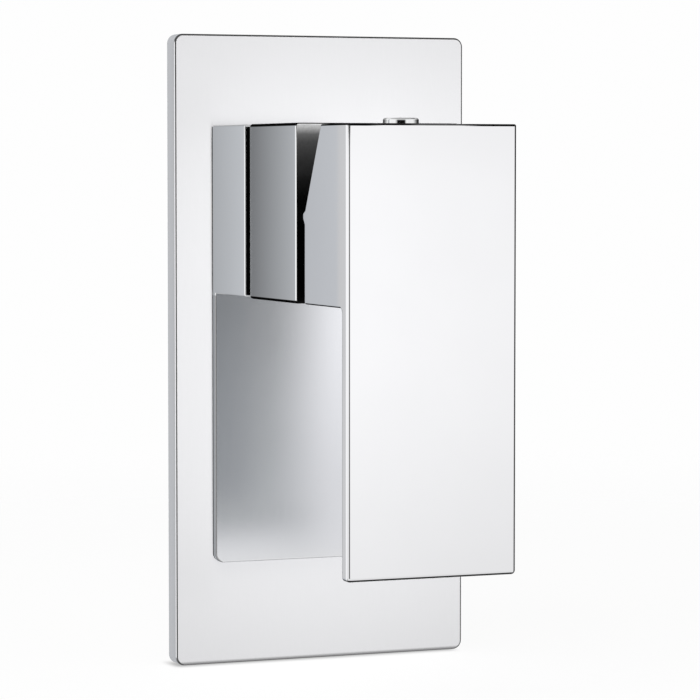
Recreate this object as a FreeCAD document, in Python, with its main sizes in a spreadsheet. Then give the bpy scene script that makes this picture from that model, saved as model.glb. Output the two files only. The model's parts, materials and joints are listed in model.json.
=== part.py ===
import FreeCAD, Part
import Sketcher
import math
import os

# Wall mixer tap for a bath and shower: a concealed brass valve behind a tall wall
# plate, a square fixed cover, a square sleeve that turns with the lever, and an
# L-shaped lever.  Millimetres.  The part's origin is the centre of the wall plate's
# back face, X to the right, +Z up, and the lever faces -Y.
#
# Most pieces are laid out from the cartridge axis: x to the right of it, z above it,
# and "f", the distance forward of the wall plate's front face (so f grows towards -Y).

V = FreeCAD.Vector
os.makedirs("parts", exist_ok=True)
doc = FreeCAD.newDocument("wall_mixer_tap")

# ---------------------------------------------------------------- driving sizes
SIZES = [
    ("plate_width", 75.2), ("plate_height", 151.8), ("plate_depth", 5.4),
    ("plate_web", 2.4), ("plate_rim", 2.4), ("plate_corner", 2.2), ("plate_edge", 0.45),
    ("axis_x", -8.2), ("axis_z", 33.8),
    ("section", 40.0), ("soft_edge", 0.7), ("crisp_edge", 0.4), ("cover_edge", 0.5), ("fine_edge", 0.35),
    ("cover_depth", 22.43), ("cover_wall", 2.2), ("cover_front", 2.5), ("cover_seal", 0.6), ("cover_top", 20.2),
    ("panel_thick", 2.04), ("panel_drop", 84.9), ("panel_corner", 2.2),
    ("sleeve_back", 25.94), ("sleeve_front", 55.5), ("sleeve_wall", 3.0), ("sleeve_half", 20.3),
    ("handle_back", 60.8), ("handle_nose", 60.15), ("handle_front", 86.16),
    ("bevel_top", 70.6), ("lever_thick", 3.36), ("lever_drop", 79.75),
    ("lever_edge", 0.85), ("lever_corner", 0.9), ("lever_width", 40.38), ("lever_top", 19.78), ("block_low", 20.25), ("block_edge", 0.5),
    ("neck_radius", 16.5), ("neck_front", 46.0), ("chamber_radius", 12.6),
    ("chamber_floor", 19.0), ("chamber_seat", 38.0), ("nut_seat", 40.0),
    ("nut_radius", 14.4), ("flange_radius", 13.8),
    ("body_left", -17.8), ("body_right", 43.0), ("body_low", -35.8), ("body_top", 28.2),
    ("body_back", -32.4), ("body_front", -6.4), ("pipe_radius", 12.5), ("hex_flats", 26.0),
    ("port_radius", 9.32), ("port_length", 13.0), ("port_f", -19.4),
    ("hot_x", -6.0), ("valve_bore", 7.0),
    ("pivot_f", 45.0), ("ball_f", 35.8), ("ball_radius", 2.2),
    ("stem_width", 8.0), ("stem_height", 7.0), ("stem_end", 74.0),
    ("pin_radius", 1.5), ("disc_radius", 8.0), ("disc_lift", 2.0),
    ("ring_radius", 17.5), ("screw_reach", 13.9), ("sleeve_screw_x", 6.5),
    ("grub_f", 68.7), ("grub_radius", 2.5),
    ("knob_x", 26.6), ("knob_f", 6.2), ("tower_side", 12.4), ("tower_top", 6.0),
    ("tower_low", -20.0), ("spool_bore", 3.6), ("rod_radius", 1.5),
    ("knob_radius", 4.8), ("knob_crown", 4.25), ("knob_top", 22.25),
    ("bath_z", -1.5), ("feed_z", -7.2), ("shower_z", -13.0),
]
sheet = doc.addObject("Spreadsheet::Sheet", "Sizes")
for row, (alias, number) in enumerate(SIZES, start=1):
    sheet.set("A%d" % row, alias)
    sheet.set("B%d" % row, str(number))
    sheet.setAlias("B%d" % row, alias)
doc.recompute()


class Size:
    """A number together with the sheet formula that gives it."""

    def __init__(self, value, text):
        self.value, self.text = float(value), text

    @staticmethod
    def of(other):
        return other if isinstance(other, Size) else Size(other, "(%.6g)" % other)

    def __add__(self, other):
        other = Size.of(other)
        return Size(self.value + other.value, "(%s + %s)" % (self.text, other.text))

    __radd__ = __add__

    def __sub__(self, other):
        other = Size.of(other)
        return Size(self.value - other.value, "(%s - %s)" % (self.text, other.text))

    def __rsub__(self, other):
        return Size.of(other) - self

    def __mul__(self, other):
        other = Size.of(other)
        return Size(self.value * other.value, "(%s * %s)" % (self.text, other.text))

    __rmul__ = __mul__

    def __truediv__(self, other):
        other = Size.of(other)
        return Size(self.value / other.value, "(%s / %s)" % (self.text, other.text))

    def __neg__(self):
        return Size(-self.value, "(-1 * %s)" % self.text)


class Sheet:
    pass


p = Sheet()
for alias, number in SIZES:
    setattr(p, alias, Size(number, "Sizes." + alias))

half = p.section / 2
NODES = []


def bind(obj, prop, size):
    """Set a property to a size's number and bind it to its formula."""
    size = Size.of(size)
    if "." not in prop:
        setattr(obj, prop, size.value)
    if "Sizes." in size.text:
        obj.setExpression(prop, size.text)


def place(obj, x, y, z, rotation=None):
    """Put an object at a point of the row frame, with the point bound to the sheet."""
    x, y, z = Size.of(x), Size.of(y), Size.of(z)
    obj.Placement = FreeCAD.Placement(V(x.value, y.value, z.value), rotation or FreeCAD.Rotation())
    for axis, size in zip("xyz", (x, y, z)):
        if "Sizes." in size.text:
            obj.setExpression("Placement.Base." + axis, size.text)


def at_axis(x, f, z):
    """A point given from the cartridge axis, in the row frame."""
    return p.axis_x + x, -(p.plate_depth + f), p.axis_z + z


FORWARD = FreeCAD.Rotation(V(1, 0, 0), 90)
RIGHT = FreeCAD.Rotation(V(0, 1, 0), 90)
UP = FreeCAD.Rotation()
count = [0]


def fresh(stem):
    count[0] += 1
    return "%s_%d" % (stem, count[0])


# ---------------------------------------------------------------- primitives
def rod(radius, x, f, z, length, along):
    """A cylinder from (x, f, z): forward, right or up."""
    c = doc.addObject("Part::Cylinder", fresh("rod"))
    bind(c, "Radius", radius)
    bind(c, "Height", length)
    place(c, *at_axis(x, f, z), {"f": FORWARD, "x": RIGHT, "z": UP}[along])
    return c


def block(x0, x1, f0, f1, z0, z1):
    """A box between two corners given from the cartridge axis."""
    b = doc.addObject("Part::Box", fresh("block"))
    bind(b, "Length", Size.of(x1) - x0)
    bind(b, "Width", Size.of(f1) - f0)
    bind(b, "Height", Size.of(z1) - z0)
    place(b, *at_axis(x0, f1, z0))
    return b


def ball(radius, x, f, z):
    s = doc.addObject("Part::Sphere", fresh("ball"))
    bind(s, "Radius", radius)
    place(s, *at_axis(x, f, z))
    return s


def fuse(*shapes):
    m = doc.addObject("Part::MultiFuse", fresh("fuse"))
    m.Shapes = list(shapes)
    return m


def cut(base, *tools):
    tool = tools[0] if len(tools) == 1 else fuse(*tools)
    c = doc.addObject("Part::Cut", fresh("cut"))
    c.Base, c.Tool = base, tool
    return c


def group(*shapes):
    g = doc.addObject("Part::Compound", fresh("group"))
    g.Links = list(shapes)
    return g


def node(obj, name):
    obj.Label = name
    NODES.append((name, obj))
    return obj


# ---------------------------------------------------------------- sketched bodies
def body(name, x=None, f=None, z=None):
    """A body on the cartridge axis, or moved by (x, f, z) from it."""
    b = doc.addObject("PartDesign::Body", name)
    b.Label = name
    NODES.append((name, b))
    place(b, *at_axis(x or 0.0, f or 0.0, z or 0.0))
    return b


def plane(b, role):
    for feature in b.Origin.OriginFeatures:
        if feature.Role == role:
            return feature
    raise ValueError(role)


def sketch(b, role, offset=0.0):
    s = b.newObject("Sketcher::SketchObject", fresh("sketch"))
    s.AttachmentSupport = [(plane(b, role), "")]
    s.MapMode = "FlatFace"
    offset = Size.of(offset)
    s.AttachmentOffset = FreeCAD.Placement(V(0, 0, offset.value), FreeCAD.Rotation())
    if "Sizes." in offset.text:
        s.setExpression("AttachmentOffset.Base.z", offset.text)
    return s


def fix_point(s, geo, pos, u, v):
    """Hold a sketch point at (u, v) from the sketch's origin."""
    for kind, axis, size in (("DistanceX", -2, u), ("DistanceY", -1, v)):
        if abs(size.value) < 1e-9:
            s.addConstraint(Sketcher.Constraint("PointOnObject", geo, pos, axis))
        else:
            i = s.addConstraint(Sketcher.Constraint(kind, -1, 1, geo, pos, size.value))
            if "Sizes." in size.text:
                s.setExpression("Constraints[%d]" % i, size.text)


def outline(s, points):
    """A closed polygon whose corners are held at (u, v)."""
    pts = [(Size.of(u), Size.of(v)) for u, v in points]
    first, n = s.GeometryCount, len(pts)
    for i in range(n):
        a, b = pts[i], pts[(i + 1) % n]
        s.addGeometry(Part.LineSegment(V(a[0].value, a[1].value, 0), V(b[0].value, b[1].value, 0)), False)
    for i in range(n):
        s.addConstraint(Sketcher.Constraint("Coincident", first + i, 2, first + (i + 1) % n, 1))
    for i in range(n):
        fix_point(s, first + i, 1, *pts[i])


def rectangle(s, u0, u1, v0, v1):
    outline(s, [(u0, v0), (u1, v0), (u1, v1), (u0, v1)])


def circle(s, u, v, radius):
    u, v, radius = Size.of(u), Size.of(v), Size.of(radius)
    g = s.addGeometry(Part.Circle(V(u.value, v.value, 0), V(0, 0, 1), radius.value), False)
    fix_point(s, g, 3, u, v)
    i = s.addConstraint(Sketcher.Constraint("Radius", g, radius.value))
    if "Sizes." in radius.text:
        s.setExpression("Constraints[%d]" % i, radius.text)


def pad(b, s, length):
    f = b.newObject("PartDesign::Pad", fresh("pad"))
    f.Profile = s
    bind(f, "Length", length)
    doc.recompute()
    return f


def pocket(b, s, length, forward=False):
    """Cut backwards from the sketch, or forwards, and make sure that it cut."""
    before = b.Shape.Volume
    f = b.newObject("PartDesign::Pocket", fresh("pocket"))
    f.Profile = s
    bind(f, "Length", length)
    f.Reversed = forward
    doc.recompute()
    if not b.Shape.Volume < before - 1e-6:
        raise ValueError("a pocket of %s cut nothing" % b.Label)
    return f


def revolve(b, s):
    f = b.newObject("PartDesign::Revolution", fresh("turning"))
    f.Profile = s
    f.ReferenceAxis = (s, ["V_Axis"])
    f.Angle = 360.0
    doc.recompute()
    return f


def fillet(b, radius, choose):
    """Round the edges of the body that choose(edge) picks, seen in the body's own frame."""
    base = b.Tip
    names = ["Edge%d" % (i + 1) for i, e in enumerate(base.Shape.Edges) if choose(e)]
    if not names:
        raise ValueError("no edge to round on " + b.Label)
    f = b.newObject("PartDesign::Fillet", fresh("round"))
    f.Base = (base, names)
    bind(f, "Radius", radius)
    doc.recompute()
    return f


def line_along(e, axis):
    """Whether an edge is straight and runs along an axis (0, 1, 2)."""
    try:
        curve = e.Curve
    except TypeError:
        return False
    if curve.TypeId != "Part::GeomLine":
        return False
    d = curve.Direction
    return abs(abs((d.x, d.y, d.z)[axis]) - 1) < 1e-6


def creased(b, e):
    """Whether an edge is a sharp one between two faces of the body."""
    faces = b.Tip.Shape.ancestorsOfType(e, Part.Face)
    if len(faces) != 2:
        return False
    at = e.valueAt((e.FirstParameter + e.LastParameter) / 2)
    a, c = [face.normalAt(*face.Surface.parameter(at)) for face in faces]
    return a.getAngle(c) > 0.3


def near(value, *targets):
    return any(abs(value - float(t.value if isinstance(t, Size) else t)) < 1e-3 for t in targets)


def middle(e):
    c = e.BoundBox.Center
    return c.x, -c.y, c.z


def ring(name, points):
    """A piece turned about the cartridge axis; points are (radius, f)."""
    b = body(name)
    s = sketch(b, "XY_Plane")
    outline(s, [(r, -Size.of(f)) for r, f in points])
    revolve(b, s)
    return b


def spindle(name, points):
    """A piece turned about the diverter's upright axis; points are (radius, z)."""
    b = body(name, p.knob_x, p.knob_f)
    s = sketch(b, "XZ_Plane")
    outline(s, points)
    revolve(b, s)
    return b


# ================================================================ wall plate
plate = doc.addObject("PartDesign::Body", "wall_plate")
plate.Label = "wall_plate"
NODES.append(("wall_plate", plate))
pw, ph = p.plate_width / 2, p.plate_height / 2
s = sketch(plate, "XZ_Plane")
rectangle(s, -pw, pw, -ph, ph)
pad(plate, s, p.plate_depth)
fillet(plate, p.plate_corner, lambda e: line_along(e, 1))
fillet(plate, p.plate_edge, lambda e: near(e.BoundBox.YMax, -5.4) and near(e.BoundBox.YMin, -5.4))
# hollow back: the plate stands on its rim
s = sketch(plate, "XZ_Plane")
rectangle(s, -pw + p.plate_rim, pw - p.plate_rim, -ph + p.plate_rim, ph - p.plate_rim)
pocket(plate, s, p.plate_depth - p.plate_web, forward=True)
# openings for the valve's neck, the diverter's stub and two fixing screws
s = sketch(plate, "XZ_Plane")
circle(s, p.axis_x, p.axis_z, p.neck_radius + 0.5)
rectangle(s, p.axis_x + p.knob_x - 4.4, p.axis_x + p.knob_x + 4.4, p.axis_z + p.shower_z - 3.4, p.axis_z + 2.9)
circle(s, p.axis_x - p.screw_reach, p.axis_z + p.screw_reach, 1.7)
circle(s, p.axis_x + p.screw_reach, p.axis_z - p.screw_reach, 1.7)
pocket(plate, s, p.plate_depth, forward=True)

# foam seal inside the rim, just short of the wall
gasket = doc.addObject("PartDesign::Body", "plate_gasket")
gasket.Label = "plate_gasket"
NODES.append(("plate_gasket", gasket))
s = sketch(gasket, "XZ_Plane", 0.05)
gw, gh = pw - p.plate_rim - 0.1, ph - p.plate_rim - 0.1
rectangle(s, -gw, gw, -gh, gh)
rectangle(s, -gw + 3.2, gw - 3.2, -gh + 3.2, gh - 3.2)
pad(gasket, s, p.plate_depth - p.plate_web - 0.05)

# ================================================================ fixed cover
# a thin panel runs down behind the lever from a square hollow block
cover = body("body_cover")
s = sketch(cover, "XZ_Plane", p.cover_seal)
rectangle(s, -half, half, -p.panel_drop, p.cover_top)
pad(cover, s, p.panel_thick - p.cover_seal)
fillet(cover, p.panel_corner, lambda e: line_along(e, 1) and middle(e)[2] < -50)
s = sketch(cover, "XZ_Plane", p.cover_seal)
rectangle(s, -half, half, -half, p.cover_top)
pad(cover, s, p.cover_depth - p.cover_seal)
fillet(cover, p.cover_edge, lambda e: line_along(e, 1) and e.Length > 15)
fillet(cover, p.crisp_edge, lambda e: near(e.BoundBox.YMin, -p.cover_depth) and near(e.BoundBox.YMax, -p.cover_depth))
fillet(cover, p.crisp_edge, lambda e: near(e.BoundBox.YMin, -p.panel_thick) and near(e.BoundBox.YMax, -p.panel_thick)
       and middle(e)[2] < -30)
s = sketch(cover, "XZ_Plane")
rectangle(s, -half + p.cover_wall, half - p.cover_wall, -half + p.cover_wall, half - p.cover_wall)
pocket(cover, s, p.cover_depth - p.cover_front, forward=True)
s = sketch(cover, "XZ_Plane")
circle(s, 0, 0, p.neck_radius + 0.25)
pocket(cover, s, p.cover_depth + 1, forward=True)

# thin dark seal under the cover's edge, seen as a fine line round its foot
seal = body("cover_seal")
s = sketch(seal, "XZ_Plane")
lip = half - 0.02
rectangle(s, -lip, lip, -p.panel_drop + 0.15, lip)
rectangle(s, -lip + 1.9, lip - 1.9, -p.panel_drop + 2.05, lip - 1.9)
pad(seal, s, p.cover_seal)
fillet(seal, p.panel_corner - 0.15, lambda e: line_along(e, 1) and middle(e)[2] < -84 and abs(middle(e)[0]) > 19)

# black frame that fills the gap in front of the cover, round the ring nut
frame_side = half - 0.35
gap_frame = body("gap_frame")
s = sketch(gap_frame, "XZ_Plane", p.cover_depth)
rectangle(s, -frame_side, frame_side, -frame_side, frame_side)
pad(gap_frame, s, p.sleeve_back - 0.6 - p.cover_depth)
fillet(gap_frame, p.soft_edge, lambda e: line_along(e, 1))
s = sketch(gap_frame, "XZ_Plane", p.cover_depth)
circle(s, 0, 0, p.neck_radius + 2.4)
pocket(gap_frame, s, 6.0, forward=True)

# the dark ring nut that clamps the cover
nut = ring("cover_ring_nut", [(p.neck_radius + 0.03, p.cover_depth), (p.neck_radius + 2.3, p.cover_depth),
                              (p.neck_radius + 2.3, p.sleeve_back - 0.6), (p.neck_radius + 0.03, p.sleeve_back - 0.6)])
s = sketch(nut, "XZ_Plane", p.sleeve_back - 0.6)
rectangle(s, -1.5, 1.5, p.neck_radius + 1.0, p.neck_radius + 3.0)
rectangle(s, -1.5, 1.5, -p.neck_radius - 3.0, -p.neck_radius - 1.0)
rectangle(s, p.neck_radius + 1.0, p.neck_radius + 3.0, -1.5, 1.5)
rectangle(s, -p.neck_radius - 3.0, -p.neck_radius - 1.0, -1.5, 1.5)
pocket(nut, s, 1.4)

# ================================================================ valve body
# a brass casting: a flat-fronted middle, two upright pipes and one sideways, each
# ending in a hexagon for the spanner, and the round neck that holds the cartridge
middle_block = block(p.body_left, p.body_right - 3, p.body_back + 2, p.body_front, -18.0, 18.0)
doc.recompute()
cast = doc.addObject("Part::Fillet", "casting")
cast.Base = middle_block
cast.Edges = [(i + 1, 3.0, 3.0) for i in range(12)]


def hexagon(x, f, z, length, along):
    h = doc.addObject("Part::Prism", fresh("hexagon"))
    h.Polygon = 6
    bind(h, "Circumradius", p.hex_flats / (2 * math.cos(math.pi / 6)))
    bind(h, "Height", length)
    place(h, *at_axis(x, f, z), {"x": RIGHT, "z": UP}[along])
    # both ends turned down to the flats
    flats, slope = p.hex_flats / 2 - 0.3, 1.0
    ends = []
    for start, radii in ((Size.of(0.0), (flats, flats + 2.0)), (Size.of(length) - slope, (flats + 2.0, flats))):
        c = doc.addObject("Part::Cone", fresh("slope"))
        bind(c, "Radius1", radii[0])
        bind(c, "Radius2", radii[1])
        bind(c, "Height", slope)
        at = (Size.of(x) + start, f, z) if along == "x" else (x, f, Size.of(z) + start)
        place(c, *at_axis(*at), {"x": RIGHT, "z": UP}[along])
        ends.append(c)
    at = (Size.of(x) + slope, f, z) if along == "x" else (x, f, Size.of(z) + slope)
    turned = fuse(ends[0], rod(flats + 2.0, *at, Size.of(length) - 2 * slope, along), ends[1])
    common = doc.addObject("Part::MultiCommon", fresh("hex"))
    common.Shapes = [h, turned]
    return common


pipes = [
    rod(p.pipe_radius, p.hot_x, p.port_f, p.body_low, 50.0, "z"),
    rod(p.pipe_radius, p.knob_x, p.port_f, p.body_low, p.body_top - p.body_low, "z"),
    rod(p.pipe_radius, 8.0, p.port_f, 4.0, p.body_right - 8.0, "x"),
    ball(p.pipe_radius, p.hot_x, p.port_f, p.body_low + 50.0),
    hexagon(p.hot_x, p.port_f, p.body_low, 10.0, "z"),
    hexagon(p.knob_x, p.port_f, p.body_low, 10.0, "z"),
    hexagon(p.knob_x, p.port_f, p.body_top - 10.0, 10.0, "z"),
    hexagon(p.body_right - 10.0, p.port_f, 4.0, 10.0, "x"),
]
neck = rod(p.neck_radius, 0, p.body_front - 6, 0, p.neck_front - p.body_front + 6, "f")
lug_a = rod(4.0, -p.screw_reach, p.body_front - 1, p.screw_reach, p.plate_depth - p.plate_web + 2, "f")
lug_b = rod(4.0, p.screw_reach, p.body_front - 1, -p.screw_reach, p.plate_depth - p.plate_web + 2, "f")
solid = fuse(cast, neck, lug_a, lug_b, *pipes)
floor_run = p.chamber_floor - p.port_f
bores = [
    # cartridge chamber: bore, flange seat and nut thread
    rod(p.chamber_radius, 0, p.chamber_floor, 0, 40, "f"),
    rod(p.flange_radius + 0.1, 0, p.chamber_seat, 0, 20, "f"),
    rod(p.nut_radius + 0.03, 0, p.nut_seat, 0, 20, "f"),
    # hot inlet, its check valve bore and its way to the cartridge
    rod(p.port_radius, p.hot_x, p.port_f, p.body_low, p.port_length, "z"),
    rod(p.valve_bore, p.hot_x, p.port_f, p.body_low + p.port_length - 1, 10.8, "z"),
    rod(4.0, p.hot_x, p.port_f, p.body_low + p.port_length + 8, 11.8, "z"),
    rod(2.4, -4.6, p.port_f, -4.2, floor_run + 1, "f"),
    # cold inlet
    rod(p.port_radius, p.knob_x, p.port_f, p.body_low, p.port_length, "z"),
    rod(p.valve_bore, p.knob_x, p.port_f, p.body_low + p.port_length - 1, 10.8, "z"),
    rod(4.0, p.knob_x, p.port_f, p.body_low + p.port_length + 8, 10.8, "z"),
    rod(3.0, 4.6, p.port_f, -8.0, p.knob_x - 4.6, "x"),
    rod(2.4, 4.6, p.port_f, -4.2, floor_run + 1, "f"),
    # mixed water back from the cartridge and across to the diverter
    rod(2.4, 0, p.port_f, 5.6, floor_run + 1, "f"),
    rod(3.0, 0, p.port_f, 5.6, p.knob_x, "x"),
    rod(2.2, p.knob_x, p.port_f, 5.6, 6.8, "f"),
    rod(1.8, p.knob_x, -12.6, p.feed_z, 5.6 - p.feed_z, "z"),
    rod(1.8, p.knob_x, -12.6, p.feed_z, 8, "f"),
    # to the bath outlet on the right
    rod(1.6, p.knob_x, -8.6, p.bath_z, 4, "f"),
    rod(1.6, p.knob_x, -8.6, p.bath_z, 38.0 - p.knob_x, "x"),
    rod(1.6, 38.0, -9.6, p.bath_z, 5.5, "z"),
    rod(p.port_radius, p.body_right - p.port_length, p.port_f, 4.0, p.port_length + 2, "x"),
    # to the shower outlet on top
    rod(1.8, p.knob_x, -10.0, p.shower_z, 5, "f"),
    rod(1.8, 20.5, -10.0, p.shower_z, p.knob_x - 20.5, "x"),
    rod(2.0, 20.5, -11.5, p.shower_z, 33, "z"),
    rod(p.port_radius, p.knob_x, p.port_f, p.body_top - p.port_length, p.port_length + 2, "z"),
    # tapped holes for the plate's screws
    rod(1.45, -p.screw_reach, -14.0, p.screw_reach, 14, "f"),
    rod(1.45, p.screw_reach, -14.0, -p.screw_reach, 14, "f"),
]
node(cut(solid, *bores), "valve_body")

node(group(*[
    fuse(rod(1.4, x, -12.5, z, 12.5, "f"),
         cut(rod(2.6, x, 0.0, z, 1.8, "f"), block(Size.of(x) - 0.4, Size.of(x) + 0.4, 1.0, 2.5, Size.of(z) - 1.7, Size.of(z) + 1.7),
             block(Size.of(x) - 1.7, Size.of(x) + 1.7, 1.0, 2.5, Size.of(z) - 0.4, Size.of(z) + 0.4)))
    for x, z in ((-p.screw_reach, p.screw_reach), (p.screw_reach, -p.screw_reach))]), "plate_screws")

# non-return valves above the two inlets
def check_valve(x):
    low = p.body_low + p.port_length + 0.2
    shell = rod(p.valve_bore - 0.05, x, p.port_f, low, 8.0, "z")
    bore = rod(4.6, x, p.port_f, low - 1, 12.0, "z")
    hub = rod(1.8, x, p.port_f, low + 1, 6.0, "z")
    spokes = [block(Size.of(x) - 6, Size.of(x) + 6, p.port_f - 0.5, p.port_f + 0.5, low + 2, low + 3.2),
              block(Size.of(x) - 0.5, Size.of(x) + 0.5, p.port_f - 6, p.port_f + 6, low + 2, low + 3.2)]
    return fuse(cut(shell, bore), hub, *spokes)


node(group(check_valve(p.hot_x), check_valve(p.knob_x)), "inlet_check_valves")

# ================================================================ cartridge
PORTS = ((-4.6, -4.2), (4.6, -4.2), (0.0, 5.6))
front_wall = p.chamber_seat
ring("cartridge_housing", [
    (10.6, p.chamber_floor + 0.4), (12.5, p.chamber_floor + 0.4), (12.5, p.chamber_seat), (p.flange_radius, p.chamber_seat),
    (p.flange_radius, p.nut_seat), (11.0, p.nut_seat), (11.0, 49.5), (8.6, 49.5), (8.6, p.chamber_seat), (10.6, p.chamber_seat)])

node(cut(rod(10.5, 0, p.chamber_floor + 0.4, 0, 5.6, "f"),
         *[rod(2.3, x, p.chamber_floor, z, 8, "f") for x, z in PORTS],
         *[rod(3.4, x, p.chamber_floor, z, 1.8, "f") for x, z in PORTS]), "cartridge_base")

node(group(*[cut(rod(3.35, x, p.chamber_floor, z, 1.8, "f"), rod(2.5, x, p.chamber_floor - 1, z, 4, "f"))
             for x, z in PORTS]), "base_seals")

node(cut(rod(10.3, 0, p.chamber_floor + 6.0, 0, 3.5, "f"),
         *[rod(2.1, x, p.chamber_floor + 5, z, 6, "f") for x, z in PORTS]), "fixed_disc")

node(cut(rod(p.disc_radius, 0, p.chamber_floor + 9.55, p.disc_lift, 2.95, "f"),
         block(-4.2, 4.2, p.chamber_floor + 8, p.chamber_floor + 11.2, -3.4, 5.4)), "moving_disc")

node(cut(rod(p.disc_radius, 0, p.chamber_floor + 12.5, p.disc_lift, 4.5, "f"),
         block(-p.ball_radius - 0.4, p.ball_radius + 0.4, p.ball_f - p.ball_radius - 0.4, p.ball_f + 4,
               -p.ball_radius - 0.4, p.ball_radius + 0.4)), "disc_holder")

# the guide turns in the housing's front bore; its slot is open at the top in front
guide_front = p.sleeve_front - p.sleeve_wall
node(cut(fuse(rod(10.3, 0, 36.4, 0, 1.55, "f"), rod(8.55, 0, 36.4, 0, guide_front - 36.4, "f")),
         block(-p.stem_width / 2 - 0.15, p.stem_width / 2 + 0.15, 35, 50.0, -6.8, 7.0),
         block(-p.stem_width / 2 - 0.15, p.stem_width / 2 + 0.15, 50.0, 56.0, -6.8, 9.5),
         rod(p.pin_radius, -12, p.pivot_f, 0, 24, "x"),
         *[rod(1.0, p.sleeve_screw_x * sx, 47.4, 0, 8.0, "f") for sx in (-1, 1)]), "stem_guide")

node(rod(p.pin_radius, -8.2, p.pivot_f, 0, 16.4, "x"), "stem_pin")

node(cut(fuse(ball(p.ball_radius, 0, p.ball_f, 0), rod(1.6, 0, p.ball_f, 0, 5.5, "f"),
              block(-p.stem_width / 2, p.stem_width / 2, 40.4, p.stem_end, -p.stem_height / 2, p.stem_height / 2)),
         rod(p.pin_radius + 0.05, -12, p.pivot_f, 0, 24, "x")), "lever_stem")

gland = ring("cartridge_nut", [(11.25, p.nut_seat), (p.nut_radius, p.nut_seat), (p.nut_radius, p.neck_front),
                               (11.25, p.neck_front)])
s = sketch(gland, "XZ_Plane", p.neck_front)
rectangle(s, -1.6, 1.6, 10.0, 16.0)
rectangle(s, -1.6, 1.6, -16.0, -10.0)
rectangle(s, 10.0, 16.0, -1.6, 1.6)
rectangle(s, -16.0, -10.0, -1.6, 1.6)
pocket(gland, s, 2.5)

# ================================================================ turning sleeve
# plain bearing ring on the neck; the sleeve turns on it and two screws behind the
# lever hold the sleeve to the cartridge's guide
ring("slip_ring", [(p.neck_radius + 0.03, p.sleeve_back - 0.6), (p.ring_radius, p.sleeve_back - 0.6),
                   (p.ring_radius, 41.7), (p.neck_radius + 0.03, 41.7)])

sleeve = body("carrier_sleeve")
s = sketch(sleeve, "XZ_Plane", p.sleeve_back)
rectangle(s, -half, half, -p.sleeve_half, p.sleeve_half)
pad(sleeve, s, p.sleeve_front - p.sleeve_back)
fillet(sleeve, p.soft_edge, lambda e: line_along(e, 1))
fillet(sleeve, p.crisp_edge, lambda e: near(-e.BoundBox.YMin, p.sleeve_front) and near(-e.BoundBox.YMax, p.sleeve_front))
fillet(sleeve, p.crisp_edge, lambda e: near(-e.BoundBox.YMin, p.sleeve_back) and near(-e.BoundBox.YMax, p.sleeve_back))
s = sketch(sleeve, "XZ_Plane", p.sleeve_back)
circle(s, 0, 0, p.ring_radius + 0.06)
pocket(sleeve, s, 42.0 - p.sleeve_back, forward=True)
s = sketch(sleeve, "XZ_Plane", p.sleeve_back)
circle(s, 0, 0, p.neck_radius + 0.35)
pocket(sleeve, s, p.sleeve_front - p.sleeve_wall - p.sleeve_back, forward=True)
# slot for the stem and two countersunk screw holes in the front wall
s = sketch(sleeve, "XZ_Plane", p.sleeve_front)
rectangle(s, -p.stem_width / 2 - 0.3, p.stem_width / 2 + 0.3, -4.3, 9.3)
for sx in (-1, 1):
    circle(s, p.sleeve_screw_x * sx, 0, 1.05)
pocket(sleeve, s, p.sleeve_wall + 1.0)
s = sketch(sleeve, "XZ_Plane", p.sleeve_front)
for sx in (-1, 1):
    circle(s, p.sleeve_screw_x * sx, 0, 2.0)
pocket(sleeve, s, 1.3)

node(group(*[
    cut(fuse(rod(0.97, p.sleeve_screw_x * sx, 47.6, 0, 7.0, "f"),
             rod(1.9, p.sleeve_screw_x * sx, p.sleeve_front - 1.3, 0, 1.2, "f")),
        block(p.sleeve_screw_x * sx - 0.3, p.sleeve_screw_x * sx + 0.3, p.sleeve_front - 0.8, 57, -1.2, 1.2),
        block(p.sleeve_screw_x * sx - 1.2, p.sleeve_screw_x * sx + 1.2, p.sleeve_front - 0.8, 57, -0.3, 0.3))
    for sx in (-1, 1)]), "sleeve_screws")

# ================================================================ lever
# side profile: square block, rear face bevelled above the axis, thin plate hanging down
handle = body("handle")
s = sketch(handle, "YZ_Plane", -half)
back_of_lever = p.handle_front - p.lever_thick
outline(s, [(-p.handle_back, -p.block_low), (-back_of_lever, -p.block_low), (-back_of_lever, -p.lever_drop),
            (-p.handle_front, -p.lever_drop), (-p.handle_front, p.lever_top), (-p.bevel_top, p.lever_top),
            (-p.handle_back - 0.15, 0.35), (-p.handle_nose, -0.1), (-p.handle_nose, -1.1), (-p.handle_back, -2.0)])
pad(handle, s, p.lever_width)
fillet(handle, p.lever_corner, lambda e: line_along(e, 1) and middle(e)[2] < -70)
fillet(handle, p.lever_edge, lambda e: line_along(e, 2) and near(middle(e)[1], p.handle_front) and e.Length > 60 and middle(e)[0] < 0)
fillet(handle, p.crisp_edge, lambda e: line_along(e, 0) and near(middle(e)[1], p.handle_front) and middle(e)[2] > 15)
fillet(handle, 1.2, lambda e: line_along(e, 0) and near(middle(e)[1], back_of_lever) and near(middle(e)[2], -p.block_low))
fillet(handle, p.block_edge, lambda e: line_along(e, 1) and near(middle(e)[2], -p.block_low) and middle(e)[0] < 0)
fillet(handle, p.fine_edge, lambda e: creased(handle, e) and not (middle(e)[1] < 62 and -3 < middle(e)[2] < 3))
# square socket for the stem, and the grub screw's hole from below
s = sketch(handle, "XZ_Plane", 58.0)
rectangle(s, -p.stem_width / 2, p.stem_width / 2, -p.stem_height / 2, p.stem_height / 2)
pocket(handle, s, p.stem_end + 0.5 - 58.0, forward=True)
s = sketch(handle, "XY_Plane", -p.block_low)
circle(s, 0, -p.grub_f, p.grub_radius)
pocket(handle, s, p.block_low, forward=True)
s = sketch(handle, "XY_Plane", -p.block_low)
circle(s, 0, -p.grub_f, p.grub_radius + 0.9)
pocket(handle, s, 2.75, forward=True)

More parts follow.
